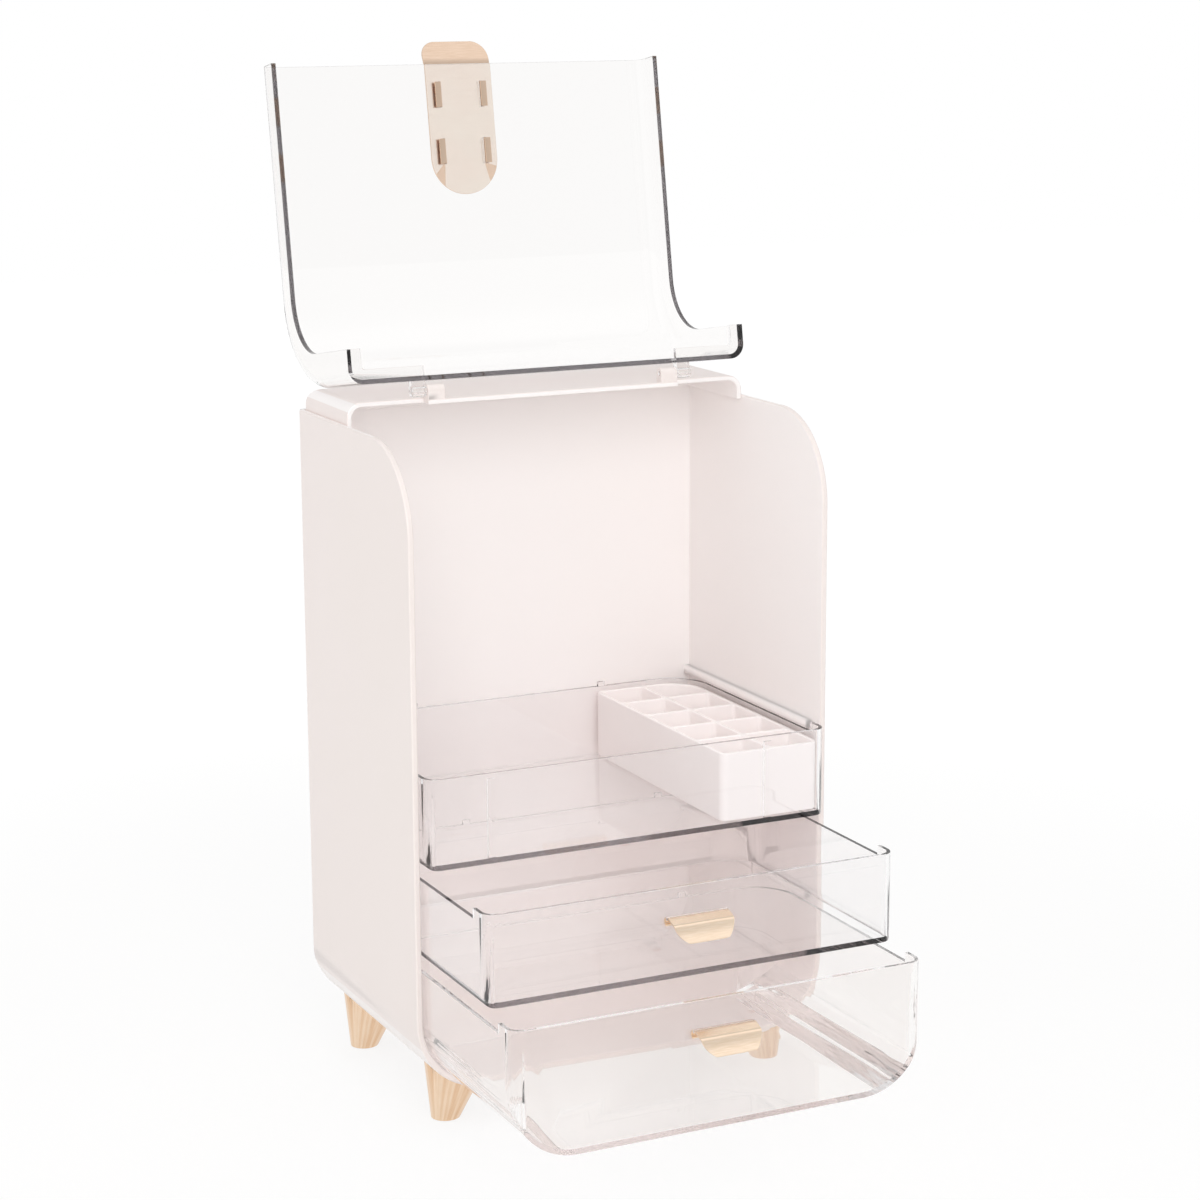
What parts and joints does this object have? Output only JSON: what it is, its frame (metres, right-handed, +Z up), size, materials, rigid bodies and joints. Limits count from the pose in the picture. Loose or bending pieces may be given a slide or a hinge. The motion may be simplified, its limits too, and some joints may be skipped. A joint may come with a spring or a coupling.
{
  "type": "dustproof makeup organizer",
  "caption": "Free-standing makeup organizer with an opaque U-shaped housing on cone feet, a clear flip-up lid, a lift-out lipstick holder in a clear tray, and clear drawers with gold pulls.",
  "frame": {"origin": "centre of the housing's width and depth, in the plane of the table under the feet", "axes": "+Z up, -Y towards the user at the open front, +X to the user's right"},
  "size_m": [0.232, 0.33, 0.534],
  "materials": {
    "pink_body": "glossy pale pink",
    "clear_plastic": "clear, polished",
    "gold_sheet": "polished champagne gold",
    "gold_feet": "satin champagne gold",
    "rubber_pads": "matte",
    "steel_hardware": "plain"
  },
  "bodies": {
    "housing": {"housing": "pink_body", "rear_deck": "pink_body", "foot_front_left": "gold_feet", "foot_front_right": "gold_feet", "foot_rear_left": "gold_feet", "foot_rear_right": "gold_feet", "foot_pad_front_left": "rubber_pads", "foot_pad_front_right": "rubber_pads", "foot_pad_rear_left": "rubber_pads", "foot_pad_rear_right": "rubber_pads", "foot_screws": "steel_hardware"},
    "lid": {"lid": "clear_plastic", "lid_handle": "gold_sheet", "hinge_pin_left": "clear_plastic", "hinge_pin_right": "clear_plastic"},
    "upper_tray": {"upper_tray": "clear_plastic"},
    "lipstick_holder": {"lipstick_holder": "pink_body"},
    "middle_drawer": {"middle_drawer": "clear_plastic", "middle_pull": "gold_sheet"},
    "bottom_drawer": {"bottom_drawer": "clear_plastic", "bottom_pull": "gold_sheet"}
  },
  "joints": [
    {"name": "lid_hinge", "type": "hinge", "parent": "housing", "child": "lid", "pos_m": [0, 0.0086, 0.3644], "axis": [-1, 0, 0], "range_deg": [-189.5, 0]},
    {"name": "tray_slide", "type": "slide", "parent": "housing", "child": "upper_tray", "axis": [0, -1, 0], "range_m": [0, 0.12]},
    {"name": "holder_lift", "type": "slide", "parent": "upper_tray", "child": "lipstick_holder", "axis": [0, 0, 1], "range_m": [0, 0.08]},
    {"name": "middle_drawer_slide", "type": "slide", "parent": "housing", "child": "middle_drawer", "axis": [0, -1, 0], "range_m": [-0.069, 0.056]},
    {"name": "bottom_drawer_slide", "type": "slide", "parent": "housing", "child": "bottom_drawer", "axis": [0, -1, 0], "range_m": [-0.097, 0.028]}
  ]
}
